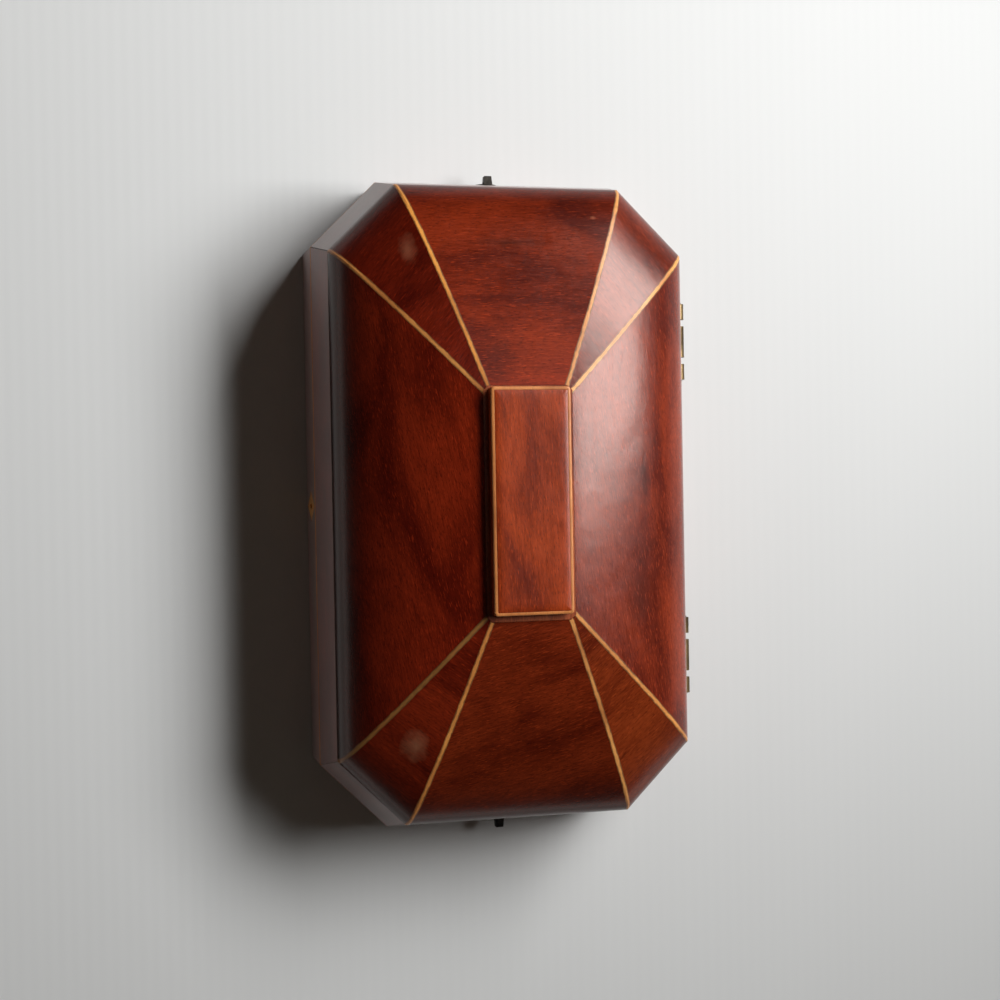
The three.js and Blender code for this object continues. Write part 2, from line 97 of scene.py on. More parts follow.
def ranged(tree, value, low, high, to_low=0.0, to_high=1.0, **settings):
    """A value's range, low to high, stretched to another."""
    inputs = dict(enumerate((value, low, high, to_low, to_high)))
    return add_node(tree, "ShaderNodeMapRange", inputs, **settings).outputs["Result"]


def mixed(tree, share, under, over, kind="MIX"):
    """One colour laid over another by a share."""
    inputs = {"Factor": share, "A": under, "B": over}
    return add_node(tree, "ShaderNodeMix", inputs, data_type="RGBA", blend_type=kind).outputs["Result"]


def toned(tree, value, *bands):
    """A colour that passes from band to band, each a position and a tone, as a value rises."""
    ramp = add_node(tree, "ShaderNodeValToRGB", {0: value})
    stops = ramp.color_ramp.elements
    for stop, (position, tone) in zip((stops[0], stops[1]), (bands[0], bands[-1])):
        stop.position, stop.color = position, (*tone, 1)
    for position, tone in bands[1:-1]:
        stops.new(position).color = (*tone, 1)
    return ramp.outputs["Color"]


def pale_room(name, walls, ceiling, low_cast, cast):
    """What is seen in gloss is a pale wall under a dim ceiling, which is pale again near the window.
    What lights the box is a low glow."""
    room = bpy.data.worlds.new(name)
    room.use_nodes = True
    tree = room.node_tree
    tree.nodes.clear()
    way = tree.nodes.new("ShaderNodeTexCoord").outputs["Generated"]
    height = add_node(tree, "ShaderNodeSeparateXYZ", {0: way}).outputs["Z"]
    upper_wall, lit_ceiling = [0.16 * w for w in walls], (*[1.6 * w for w in walls], 1)
    dim = toned(tree, height, (0.05, walls), (0.20, upper_wall), (0.60, ceiling))
    window_side = Vector((-0.25, 0.28, 0.93)).normalized()
    near = add_node(tree, "ShaderNodeVectorMath", {0: way, 1: window_side}, operation="DOT_PRODUCT")
    overhead = mixed(tree, ranged(tree, near.outputs["Value"], 0.972, 0.997), dim, lit_ceiling)

    ray = tree.nodes.new("ShaderNodeLightPath").outputs
    plain = mixed(tree, ray["Is Camera Ray"], overhead, (*walls, 1))
    seen = node_value(tree, "MAXIMUM", ray["Is Camera Ray"], ray["Is Glossy Ray"])
    glow = toned(tree, height, (0.02, low_cast), (0.16, cast))
    shown, fill = (add_node(tree, "ShaderNodeBackground", {"Color": tone}) for tone in (plain, glow))
    either = add_node(tree, "ShaderNodeMixShader", {0: seen, 1: fill.outputs[0], 2: shown.outputs[0]})
    add_node(tree, "ShaderNodeOutputWorld", {"Surface": either.outputs[0]})
    scene.world = room


wall_tone, ceiling_tone = (0.70, 0.70, 0.69), (0.02, 0.016, 0.014)
pale_room("pale_room", wall_tone, ceiling_tone, low_cast=(0.50, 0.49, 0.48), cast=(0.024, 0.019, 0.014))


# Table: a sheet of pale paper with a faint rib, wide enough to stand behind the box in every view.
# Far from the box it passes into the tone of the wall behind it.
def colour(r, g, b):
    """A colour as it looks on a screen, 0 to 255, in the linear numbers that shaders take."""
    return tuple((c / 255 / 12.92) if c <= 10 else ((c / 255 + 0.055) / 1.055) ** 2.4 for c in (r, g, b))


def new_skin(name):
    """A new material, its tree of nodes, its surface and a place on the piece in metres."""
    skin = bpy.data.materials.new(name)
    skin.use_nodes = True
    tree = skin.node_tree
    place = tree.nodes.new("ShaderNodeTexCoord").outputs["Object"]
    return skin, tree, tree.nodes["Principled BSDF"], place


def bumped(tree, height, strength, distance, under=None):
    inputs = {"Height": height, "Strength": strength, "Distance": distance}
    if under is not None:
        inputs["Normal"] = under
    return add_node(tree, "ShaderNodeBump", inputs).outputs["Normal"]


def table_paper():
    paper, tree, surface, place = new_skin("pale_paper")
    rib = add_node(tree, "ShaderNodeTexWave", {"Vector": place, "Scale": 50}, bands_direction="Y")
    feed(tree, surface, {
        "Base Color": (*colour(223, 224, 223), 1), "Roughness": 0.62,
        "Normal": bumped(tree, rib.outputs["Fac"], 0.05, 0.0004),
    })
    near, beyond = 0.37, 0.72
    far = add_node(tree, "ShaderNodeVectorMath", {0: place}, operation="LENGTH").outputs["Value"]
    share = ranged(tree, far, near, beyond, interpolation_type="SMOOTHSTEP")
    ray = tree.nodes.new("ShaderNodeLightPath").outputs
    seen = node_value(tree, "MAXIMUM", ray["Is Camera Ray"], ray["Is Glossy Ray"])
    share = node_value(tree, "MULTIPLY", seen, share)
    glow = add_node(tree, "ShaderNodeEmission", {"Color": (*wall_tone, 1)})
    either = add_node(tree, "ShaderNodeMixShader", {0: share, 1: surface.outputs["BSDF"], 2: glow.outputs[0]})
    feed(tree, tree.nodes["Material Output"], {"Surface": either.outputs[0]})
    return paper


sheet = bpy.data.meshes.new("table")
sheet.from_pydata([(-3, -3, 0), (3, -3, 0), (3, 3, 0), (-3, 3, 0)], [], [(0, 1, 2, 3)])
table = bpy.data.objects.new("table", sheet)
table.data.materials.append(table_paper())
scene.collection.objects.link(table)


# Base board: one thin board, planed and left bare, set into a rebate under the eight walls and
# glued there. The box is a long octagon, kept as the distance of each side from its centre.
mm = 0.001
glue_line = 0.15
case_length, case_width, corner_cut = 154.8, 90.8, 31.5
base_thickness, base_rebate = 6, 5
side_names = [
    "front", "front_right", "right_end", "back_right", "back", "back_left", "left_end", "front_left",
]


def octagon(half_length, half_width, cut):
    canted = (half_length + half_width - cut) / math.sqrt(2)
    return [r for k in range(4) for r in ((half_length if k % 2 else half_width), canted)]


def inset(reach, depth):
    return [r - depth for r in reach]


def outward(side):
    turn = side * math.pi / 4 - math.pi / 2
    return Vector((math.cos(turn), math.sin(turn)))


def along(side):
    return outward(side + 2)


def corner(reach, side):
    """The corner that ends a side, going anticlockwise seen from above."""
    mine, following = reach[side % 8], reach[(side + 1) % 8]
    run = (following - mine * math.cos(math.pi / 4)) / math.sin(math.pi / 4)
    return outward(side) * mine + along(side) * run


def made(name, points, faces):
    """A piece from points in millimetres, with its faces turned outwards."""
    mesh = bpy.data.meshes.new(name)
    mesh.from_pydata([Vector(p) * mm for p in points], [], faces)
    work = bmesh.new()
    work.from_mesh(mesh)
    bmesh.ops.remove_doubles(work, verts=work.verts, dist=1e-7)
    bmesh.ops.recalc_face_normals(work, faces=work.faces)
    work.to_mesh(mesh)
    work.free()
    piece = bpy.data.objects.new(name, mesh)
    scene.collection.objects.link(piece)
    return piece


def eased(piece, width, sharper_than=35, segments=2):
    """Takes the sharpness off a piece's edges, as a few strokes of fine paper do."""
    piece.data.shade_smooth()
    edge = piece.modifiers.new("eased edges", "BEVEL")
    edge.width = width * mm
    edge.segments = segments
    edge.limit_method = "ANGLE"
    edge.angle_limit = math.radians(sharper_than)
    edge.use_clamp_overlap = True
    flat = piece.modifiers.new("flat faces", "WEIGHTED_NORMAL")
    flat.weight = 100
    flat.keep_sharp = True
    return piece


def fitted(piece, body, slot, *nodes):
    """Sets a finished piece in the box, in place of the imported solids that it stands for."""
    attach(piece, body)
    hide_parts(*nodes)
    return piece


def quads_between(loops, count, closed=False):
    """The faces that join loops of points, each to the next, and the last to the first where closed."""
    return [
        (k * count + i, k * count + (i + 1) % count,
         (k + 1) % loops * count + (i + 1) % count, (k + 1) % loops * count + i)
        for k in range(loops if closed else loops - 1) for i in range(count)
    ]


def end_caps(loops, count):
    """The faces that close the first and the last loop."""
    return [tuple(range(count)), tuple(range(count * (loops - 1), count * loops))]


def slab(name, outline, low, high):
    """A flat board cut to an outline."""
    count = len(outline)
    points = [(p[0], p[1], z) for z in (low, high) for p in outline]
    return made(name, points, end_caps(2, count) + quads_between(2, count))


def noisy(tree, place, scale, detail, roughness=0.5, distortion=0.0, **settings):
    inputs = {
        "Vector": place, "Scale": scale, "Detail": detail, "Roughness": roughness, "Distortion": distortion,
    }
    return add_node(tree, "ShaderNodeTexNoise", inputs, **settings).outputs["Fac"]


def wood(name, body, grain, seed, gloss, pores=0.45, streaks=0.5, contrast=1.0, painted_edge_shade=1.0,
         coat=0.0, shine=0.5):
    """Wood with its grain along a direction, in degrees from X. The grain is drawn out of noise:
    soft mottling, a few dark streaks, fine fibres and short open pores. Where the edge shade is under 1,
    painted shade darkens the dome by it from its shoulder down to its lower edge."""
    skin, tree, surface, place = new_skin(name)
    turned = add_node(tree, "ShaderNodeMapping", {
        "Vector": place, "Location": (seed * 0.37, seed * 0.53, seed * 0.71),
        "Rotation": (0, 0, math.radians(-grain)),
    }).outputs["Vector"]

    def drawn_out(long, across, detail, roughness, distortion=0.0):
        stretch = {0: turned, 1: (long, across, across)}
        stretched = add_node(tree, "ShaderNodeVectorMath", stretch, operation="MULTIPLY")
        return noisy(tree, stretched.outputs["Vector"], 1, detail, roughness, distortion)

    def grey(value):
        return add_node(tree, "ShaderNodeCombineColor", {0: value, 1: value, 2: value}).outputs[0]

    dark = [c * k ** contrast for c, k in zip(body, (0.55, 0.42, 0.42))]
    light = [c * k ** contrast for c, k in zip(body, (1.38, 1.55, 1.6))]
    streak_tone, pore_tone = (*[c * 0.4 for c in dark], 1), (*[c * 0.25 for c in dark], 1)
    fleck_tone = (*[min(c * 2.2, 1) for c in light], 1)
    mottle = toned(tree, drawn_out(16, 42, 5, 0.55, 0.6), (0.35, dark), (0.5, body), (0.66, light))
    streak = ranged(tree, drawn_out(24, 330, 3, 0.6, 0.4), 0.62, 0.78, 0.0, streaks)
    fibre = drawn_out(120, 1150, 4, 0.65)
    fibre_shade = grey(ranged(tree, fibre, 0.3, 0.7, 1 - 0.26 * contrast, 1 + 0.24 * contrast))
    pore = ranged(tree, drawn_out(480, 1950, 2, 0.55), 0.54, 0.68)
    fleck = ranged(tree, drawn_out(260, 2300, 1, 0.5), 0.40, 0.28, 0.0, pores * 0.8)
    coloured = mixed(tree, streak, mottle, streak_tone)
    coloured = mixed(tree, 1.0, coloured, fibre_shade, "MULTIPLY")
    coloured = mixed(tree, fleck, coloured, fleck_tone)
    coloured = mixed(tree, ranged(tree, pore, 0, 1, 0, pores), coloured, pore_tone)
    # Painted shade: the dome is darkened from its shoulder down to its lower edge
    if painted_edge_shade < 1:
        lower_edge, shoulder = 0.056, 0.084
        level = add_node(tree, "ShaderNodeSeparateXYZ", {0: place}).outputs["Z"]
        painted_shade = grey(ranged(tree, level, lower_edge, shoulder, painted_edge_shade, 1.0))
        coloured = mixed(tree, 1.0, coloured, painted_shade, "MULTIPLY")

    sanded = bumped(tree, drawn_out(60, 60, 2, 0.5), 0.25, 0.0008)
    relief = node_value(tree, "SUBTRACT", ranged(tree, fibre, 0, 1, 0, 0.9), pore)
    feed(tree, surface, {
        "Base Color": coloured,
        "Roughness": ranged(tree, fibre, 0.25, 0.75, gloss - 0.03, gloss + 0.05),
        "Normal": bumped(tree, relief, 0.3, 0.00004, sanded),
        "Specular IOR Level": shine, "Specular Tint": (1.0, 0.80, 0.74, 1),
        "Coat Weight": coat, "Coat Roughness": 0.35,
    })
    return skin


def bare_wood(name, grain, seed):
    return wood(name, colour(134, 80, 48), grain, seed, gloss=0.62, pores=0.35, contrast=0.6)


case_outer = octagon(case_length, case_width, corner_cut)
board_edge = inset(case_outer, base_rebate + glue_line)
base = slab("base_board_wood", [corner(board_edge, s) for s in range(8)], 0, base_thickness)
base.data.materials.append(bare_wood("bare_base_wood", 0, 1))
fitted(eased(base, 0.4), "case", "inner_wood", "base_board")


# Floor pad: a thin pad covered in dark red baize, cut to the octagon and laid loose on the base
# board. Its edge is rounded over and its top swells a little towards the middle.
pad_low, pad_thickness, pad_edge, pad_swell = 6.3, 3.2, 1.5, 0.3
pad_setback, pad_spine, pad_runs = 9.3, 62, 14
swell_reach, ripple_height, ripple_reach, ripple_length = 30, 0.12, 4, 26


def pad_ring(depth, z):
    """A loop of points round the pad, a depth in from its edge and at the height that z gives."""
    reach = inset(case_outer, pad_setback + depth)
    ring = []
    for side in range(8):
        start, end = corner(reach, side - 1), corner(reach, side)
        for i in range(pad_runs):
            place = start.lerp(end, i / pad_runs)
            ring.append((place.x, place.y, z(place)))
    return ring


def pad_top(depth):
    """A rule for the height of the pad's top at a depth: rolled over, swollen and a little uneven."""
    def height(place):
        roll = math.sqrt(max(1 - (1 - min(depth / pad_edge, 1)) ** 2, 0))
        swell = pad_swell * min(depth / swell_reach, 1)
        spot = Vector((place.x / ripple_length, place.y / ripple_length, 3.1))
        ripple = ripple_height * min(depth / ripple_reach, 1) * noise.noise(spot)
        return pad_low + pad_edge + (pad_thickness - pad_edge) * roll + swell + ripple
    return height


def baize():
    cloth, tree, surface, place = new_skin("dark_red_baize")
    wisps, tufts = (noisy(tree, place, scale, 4) for scale in (45, 2600))
    both = node_value(tree, "MULTIPLY", node_value(tree, "ADD", wisps, tufts), 0.5)
    feed(tree, surface, {
        "Base Color": toned(tree, both, (0.36, colour(60, 10, 16)), (0.66, colour(112, 26, 34))),
        "Normal": bumped(tree, tufts, 0.6, 0.0002),
        "Roughness": 0.95, "Sheen Weight": 0.35, "Sheen Roughness": 0.5,
    })
    return cloth


pad_depths = [0, 0.15, 0.4, 0.8, 1.5, 2.5, 4, 7, 12, 20, 30, 40]
rings = [pad_ring(0.6, lambda p: pad_low), pad_ring(0, lambda p: pad_low + 0.5)]
rings += [pad_ring(depth, pad_top(depth)) for depth in pad_depths]
innermost, pad_height = rings[-1], pad_top(pad_depths[-1])
for share in (0.25, 0.5, 0.75, 0.94):
    ring = []
    for x, y, _ in innermost:
        spine = Vector((max(min(x, pad_spine), -pad_spine), 0))
        place = Vector((x, y)).lerp(spine, share)
        ring.append((place.x, place.y, pad_height(place)))
    rings.append(ring)
around = 8 * pad_runs
pad_faces = quads_between(len(rings), around) + end_caps(len(rings), around)
pad = made("floor_pad_baize", [p for ring in rings for p in ring], pad_faces)
pad.data.shade_smooth()
pad.data.materials.append(baize())
fitted(pad, "case", "baize", "floor_pad")


# Walls: eight pieces mitred together with their grain level, rebated below for the base board and
# above for the rim stringing, then stained, filled and polished to a soft gloss.
def sawn(node, name):
    """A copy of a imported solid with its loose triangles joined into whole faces."""
    work = bmesh.new()
    work.from_mesh(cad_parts[node].data)
    bmesh.ops.remove_doubles(work, verts=work.verts, dist=1e-6)
    bmesh.ops.dissolve_limit(work, angle_limit=math.radians(1), verts=work.verts, edges=work.edges)
    mesh = bpy.data.meshes.new(name)
    work.to_mesh(mesh)
    work.free()
    if "custom_normal" in mesh.attributes:
        mesh.attributes.remove(mesh.attributes["custom_normal"])
    piece = bpy.data.objects.new(name, mesh)
    scene.collection.objects.link(piece)
    return piece


# The colour of each side: the wood's own tone with painted light and shade, darker or lighter as the side
# faces away from the window or towards it
side_tones_lit_and_shaded = {
    "front": (114, 29, 9), "front_right": (108, 29, 9), "right_end": (106, 33, 10),
    "back_right": (122, 45, 16), "back": (118, 38, 15), "back_left": (108, 35, 15),
    "left_end": (122, 34, 8), "front_left": (94, 21, 6),
}
# A grey mixed into the colour of the walls and bands: painted reflection of the pale table seen at a grazing
# angle
painted_grey_reflection = (62, 50, 44)


def polished_wood(name, side, grain, seed, streaks=0.5):
    """Upright faces: the colour is greyed a little, a painted reflection, and on the front sides the coat is
    rougher and the sheen stronger.
    """
    body = [0.8 * a + 0.2 * b for a, b in zip(side_tones_lit_and_shaded[side], painted_grey_reflection)]
    skin = wood(name, colour(*body), grain, seed, gloss=0.40, streaks=streaks, coat=1.0)
    front_side = side.startswith("front")
    feed(skin.node_tree, skin.node_tree.nodes["Principled BSDF"], {
        "Coat Roughness": 0.48 if front_side else 0.30, "Coat IOR": 1.6,
        "Sheen Weight": 0.4 if front_side else 0.1, "Sheen Roughness": 0.5,
        "Sheen Tint": (0.80, 0.79, 0.77, 1),
    })
    return skin


def overlaid(tree, share, tone):
    """Lays a tone over a material's own colour by a share."""
    body = tree.nodes["Principled BSDF"].inputs["Base Color"]
    tree.links.new(mixed(tree, share, body.links[0].from_socket, (*colour(*tone), 1)), body)


def mark_or_painted_highlight(skin, centre, reach, tone, amount):
    """A soft patch with a ragged edge laid over the colour: a place where the finish has darkened or chipped,
    or a painted highlight.
    """
    tree = skin.node_tree
    place = tree.nodes.new("ShaderNodeTexCoord").outputs["Object"]
    far = place
    for kind, by in (("SUBTRACT", [c * mm for c in centre]), ("MULTIPLY", [1 / (r * mm) for r in reach])):
        far = add_node(tree, "ShaderNodeVectorMath", {0: far, 1: by}, operation=kind).outputs["Vector"]
    far = add_node(tree, "ShaderNodeVectorMath", {0: far}, operation="LENGTH").outputs["Value"]
    edge = node_value(tree, "ADD", far, noisy(tree, place, 190, 5))
    overlaid(tree, ranged(tree, edge, 0.55, 1.5, amount, 0.0), tone)


def bare_inside(piece, side, skin):
    """Leaves the face that looks into the box bare."""
    piece.data.materials.append(skin)
    for face in piece.data.polygons:
        if face.normal.xy.dot(outward(side)) < -0.5:
            face.material_index = 1


bare_case_wood = bare_wood("bare_case_wood", 0, 5)
for side, side_name in enumerate(side_names):
    wall = sawn(f"{side_name}_wall", f"{side_name}_wall_wood")
    wall.data.materials.append(polished_wood(f"{side_name}_wall_polish", side_name, 45 * side, 20 + side))
    bare_inside(wall, side, bare_case_wood)
    fitted(eased(wall, 0.3), "case", "case_wood", f"{side_name}_wall")


# Stringing: thin strips of pale wood, here laid in a rebate round the top of the case so that the
# edge doesn't chip when the lid comes down. Handling and old glue have browned them in places.
def pale_strip(name, grain, seed, tone=(222, 152, 84), grime=0.0):
    """grime darkens the two edges of a strip, from its own attribute across, 0 to 1."""
    skin = wood(name, colour(*tone), grain, seed, gloss=0.33, pores=0.2, streaks=0.2, contrast=0.35)
    tree = skin.node_tree
    place = tree.nodes.new("ShaderNodeTexCoord").outputs["Object"]
    overlaid(tree, ranged(tree, noisy(tree, place, 55, 4), 0.50, 0.72, 0.0, 0.75), (150, 88, 44))
    if grime:
        across = tree.nodes.new("ShaderNodeAttribute")
        across.attribute_name = "across"
        from_middle = node_value(tree, "SUBTRACT", across.outputs["Fac"], 0.5)
        aside = node_value(tree, "ABSOLUTE", from_middle)
        edge = node_value(tree, "MULTIPLY_ADD", noisy(tree, place, 320, 5), 0.5, aside)
        overlaid(tree, ranged(tree, edge, 0.46, 0.66, 0.0, grime), (70, 36, 20))
    return skin


rim = sawn("rim_stringing", "rim_stringing_strip")
rim.data.materials.append(pale_strip("pale_rim_strip", 0, 30))
fitted(eased(rim, 0.2), "case", "stringing", "rim_stringing")


# Keyhole plate: a diamond of the same pale wood, let flush into the front wall, with the keyhole
# pierced through it and through the wall.
keyhole_plate = sawn("keyhole_plate", "keyhole_diamond")
keyhole_plate.data.materials.append(pale_strip("pale_diamond", 0, 31))
fitted(eased(keyhole_plate, 0.15), "case", "stringing", "keyhole_plate")


# Lock: a small brass box lock let into the front wall from the inside and held by two screws. Its
# steel bolt slides through the staple that hangs from the link plate in the lid.
def metal(name, clean, dull, roughness, blotch=70, relief=0.1):
    skin, tree, surface, place = new_skin(name)
    patterns = ((blotch, 6), (1900, 3))
    tarnish, scratches = (noisy(tree, place, scale, detail, 0.65) for scale, detail in patterns)
    feed(tree, surface, {
        "Metallic": 1.0,
        "Base Color": toned(tree, tarnish, (0.35, dull), (0.65, clean)),
        "Roughness": ranged(tree, tarnish, 0.3, 0.7, roughness + 0.15, roughness - 0.05),
        "Normal": bumped(tree, scratches, relief, 0.0001),
    })
    return skin


aged_brass = metal("aged_brass", colour(132, 110, 76), colour(78, 64, 46), 0.40)
drawn_steel = metal("drawn_steel", colour(176, 176, 174), colour(112, 110, 106), 0.32)

for node, body, slot, skin, softness in (
    ("lock_case", "case", "brass", aged_brass, 0.12),
    ("lock_bolt", "bolt", "steel", drawn_steel, 0.15),
    ("link_plate", "lid", "brass", aged_brass, 0.12),
):
    fitting = sawn(node, f"{node}_{slot}")
    fitting.data.materials.append(skin)
    fitted(eased(fitting, softness), body, slot, node)


# Lid band: eight mitred strips that lean in towards the dome, with their grain level.
for side, side_name in enumerate(side_names):
    band = sawn(f"{side_name}_lid_band", f"{side_name}_lid_band_wood")
    band.data.materials.append(polished_wood(f"{side_name}_band_polish", side_name, 45 * side, 40 + side))
    bare_inside(band, side, bare_case_wood)
    fitted(eased(band, 0.3), "lid", "case_wood", f"{side_name}_lid_band")


# Dome panels: eight boards shaped to one curve and mitred, closed at the top by the crown board.
# One rule gives the curve: how far up a point is sets how far in it lies and how high it stands.
dome_base, dome_height, crown_thickness = 50.5, 33, 7
dome_shoulder, dome_roundness, panel_inset = 1.1, 2.2, 0.108
string_width, joint_line = 1.8, 0.03
band_lean = 4.8
dome_outer = octagon(case_length - band_lean, case_width - band_lean, corner_cut)
dome_top = octagon(54, 21.2, 2.4)


def new_tree(name, **labels):
    """A tree of geometry nodes with its named inputs, by kind, and those inputs' sockets."""
    tree = bpy.data.node_groups.new(name, "GeometryNodeTree")
    tree.interface.new_socket("Geometry", in_out="INPUT", socket_type="NodeSocketGeometry")
    for kind, names in labels.items():
        for label in names:
            tree.interface.new_socket(label, in_out="INPUT", socket_type=f"NodeSocket{kind}")
    tree.interface.new_socket("Geometry", in_out="OUTPUT", socket_type="NodeSocketGeometry")
    return tree, tree.nodes.new("NodeGroupInput").outputs


def shaped_tree(name, sizes, plan):
    """A closed board bent to the dome's rule. plan gives its X and Y from how far across the board
    a point is, 0 to 1, and how far out on the dome, 0 at the crown and 1 at the band."""
    tree, given = new_tree(
        name, Int=("Columns", "Rows"), Material=("Outside", "Inside"),
        Float=("Height", "Inner height", "Shoulder", "Roundness", "Inset", *sizes))
    board = add_node(tree, "GeometryNodeMeshCube", {
        "Size": (1, 1, 1), "Vertices X": given["Columns"], "Vertices Y": given["Rows"], "Vertices Z": 2,
    })
    facing = tree.nodes.new("GeometryNodeInputNormal").outputs["Normal"]
    facing_up = add_node(tree, "ShaderNodeSeparateXYZ", {0: facing}).outputs["Z"]
    underside = add_node(tree, "FunctionNodeCompare", {"A": facing_up, "B": -0.5}, operation="LESS_THAN")

    here = tree.nodes.new("GeometryNodeInputPosition").outputs["Position"]
    parts = add_node(tree, "ShaderNodeSeparateXYZ", {0: here}).outputs
    across = node_value(tree, "ADD", parts["X"], 0.5)
    up = node_value(tree, "ADD", parts["Y"], 0.5)
    inner = node_value(tree, "SUBTRACT", 0.5, parts["Z"])
    out = node_value(tree, "SUBTRACT", 1.0, node_value(tree, "MULTIPLY", up, up))
    fall = node_value(tree, "SUBTRACT", 1.0, node_value(tree, "POWER", out, given["Shoulder"]))
    fall = node_value(tree, "MAXIMUM", fall, 0.0)
    rise = node_value(tree, "POWER", fall, node_value(tree, "DIVIDE", 1.0, given["Roundness"]))
    thinner = node_value(tree, "SUBTRACT", given["Height"], given["Inner height"])
    tall = node_value(tree, "SUBTRACT", given["Height"], node_value(tree, "MULTIPLY", inner, thinner))
    z = node_value(tree, "ADD", (dome_base + glue_line) * mm, node_value(tree, "MULTIPLY", tall, rise))
    drawn_in = node_value(tree, "SUBTRACT", 1.0, node_value(tree, "MULTIPLY", inner, given["Inset"]))
    x, y = plan(tree, given, across, node_value(tree, "MULTIPLY", out, drawn_in))
    point = add_node(tree, "ShaderNodeCombineXYZ", {0: x, 1: y, 2: z}).outputs[0]

    marked = add_node(tree, "GeometryNodeStoreNamedAttribute", {
        "Geometry": board.outputs["Mesh"], "Name": "inside", "Value": underside.outputs["Result"],
    }, data_type="BOOLEAN", domain="FACE")
    measured = add_node(tree, "GeometryNodeStoreNamedAttribute", {
        "Geometry": marked.outputs["Geometry"], "Name": "across", "Value": across,
    }, data_type="FLOAT", domain="POINT")
    shape = measured.outputs["Geometry"]
    is_inside = add_node(tree, "GeometryNodeInputNamedAttribute", {"Name": "inside"}, data_type="BOOLEAN")
    inner_skin = {"Material": given["Inside"], "Selection": is_inside.outputs["Attribute"]}
    for kind, inputs in (
        ("GeometryNodeSetPosition", {"Position": point}),
        ("GeometryNodeRealizeInstances", {}),
        ("GeometryNodeSetMaterial", {"Material": given["Outside"]}),
        ("GeometryNodeSetMaterial", inner_skin),
    ):
        shape = add_node(tree, kind, {"Geometry": shape, **inputs}).outputs["Geometry"]
    add_node(tree, "NodeGroupOutput", {"Geometry": shape})
    return tree


def grown(name, tree, values, start=None, sharper_than=20):
    """Runs a tree with the given sizes, on a mesh or on nothing, and keeps its result as a plain mesh."""
    if start is None:
        start = bpy.data.meshes.new(name)
    piece = bpy.data.objects.new(name, start)
    scene.collection.objects.link(piece)
    rule = piece.modifiers.new("rule", "NODES")
    rule.node_group = tree
    for socket in tree.interface.items_tree:
        if socket.in_out == "INPUT" and socket.name in values:
            rule[socket.identifier] = values[socket.name]
    bpy.context.view_layer.update()
    evaluated = piece.evaluated_get(bpy.context.evaluated_depsgraph_get())
    mesh = bpy.data.meshes.new_from_object(evaluated)
    mesh.name = name
    piece.modifiers.remove(rule)
    piece.data = mesh
    bpy.data.meshes.remove(start)
    mesh.shade_smooth()
    mesh.set_sharp_from_angle(angle=math.radians(sharper_than))
    return piece


def lerped(tree, low, high, share):
    step = node_value(tree, "SUBTRACT", high, low)
    return node_value(tree, "ADD", low, node_value(tree, "MULTIPLY", step, share))


def panel_plan(tree, given, across, out):
    reach = lerped(tree, given["Top reach"], given["Base reach"], out)
    start = lerped(tree, given["Top start"], given["Base start"], out)
    end = lerped(tree, given["Top end"], given["Base end"], out)
    run = lerped(tree, start, end, across)
    cosine, sine = (node_value(tree, kind, given["Direction"]) for kind in ("COSINE", "SINE"))
    x = node_value(tree, "SUBTRACT", node_value(tree, "MULTIPLY", cosine, reach),
                   node_value(tree, "MULTIPLY", sine, run))
    y = node_value(tree, "ADD", node_value(tree, "MULTIPLY", sine, reach),
                   node_value(tree, "MULTIPLY", cosine, run))
    return x, y


panel_tree = shaped_tree(
    "dome panel",
    ("Direction", "Top reach", "Base reach", "Top start", "Base start", "Top end", "Base end"),
    panel_plan,
)
dome_rule = {
    "Height": (dome_height - glue_line) * mm,
    "Inner height": (dome_height - crown_thickness) * mm,
    "Shoulder": dome_shoulder,
    "Roundness": dome_roundness,
    "Inset": panel_inset,
}


def mitre_trim(side, hip, distance):
    """How far along a side a plane lies that is parallel to a mitre and a distance from it."""
    line = (corner(dome_outer, hip) - corner(dome_top, hip)).normalized()
    way = along(side)
    return distance / abs(way.x * line.y - way.y * line.x)


panel_grain = {
    "front": 13, "front_right": 52, "right_end": 105, "back_right": 128,
    "back": 10, "back_left": 40, "left_end": 91, "front_left": 140,
}
# How dark the painted shade makes each dome panel at its lower edge, 1 for none, darkest on the front
panel_painted_edge_shade = {
    "front": 0.12, "front_right": 0.36, "right_end": 0.40, "back_right": 0.62,
    "back": 1, "back_left": 0.9, "left_end": 0.42, "front_left": 0.50,
}
panel_shine = dict.fromkeys(side_names, 0.5) | {"left_end": 0.34, "front_left": 0.42}
# Marks on the panels, each with its place, its reach, its tone and how strong it is; the pale spots on the
# two front canted panels are painted highlights
panel_marks_and_highlights = {
    "front": [((-90, -84.6, 56.6), (8, 2.2, 3), (12, 8, 8), 0.85)],
    # Painted highlight: a soft pale spot
    "front_left": [((-117, -52, 69), (8, 5, 8), (176, 112, 82), 0.26)],
    # Painted highlight: a soft pale spot
    "front_right": [((110, -53, 71), (9, 7, 8), (172, 122, 90), 0.36)],
    "back": [
        ((-12, 59, 73), (24, 2.4, 3.5), (58, 18, 12), 0.62),
        ((46, 56, 74.5), (13, 6, 5), (74, 24, 14), 0.5),
    ],
    "left_end": [
        ((-121, -4, 70.5), (2.6, 22, 4), (52, 16, 8), 0.6),
        ((-134, 38.3, 65.7), (1.2, 2, 2), (160, 90, 60), 0.7),
    ],
}
bare_lid_wood = bare_wood("bare_lid_wood", 0, 9)
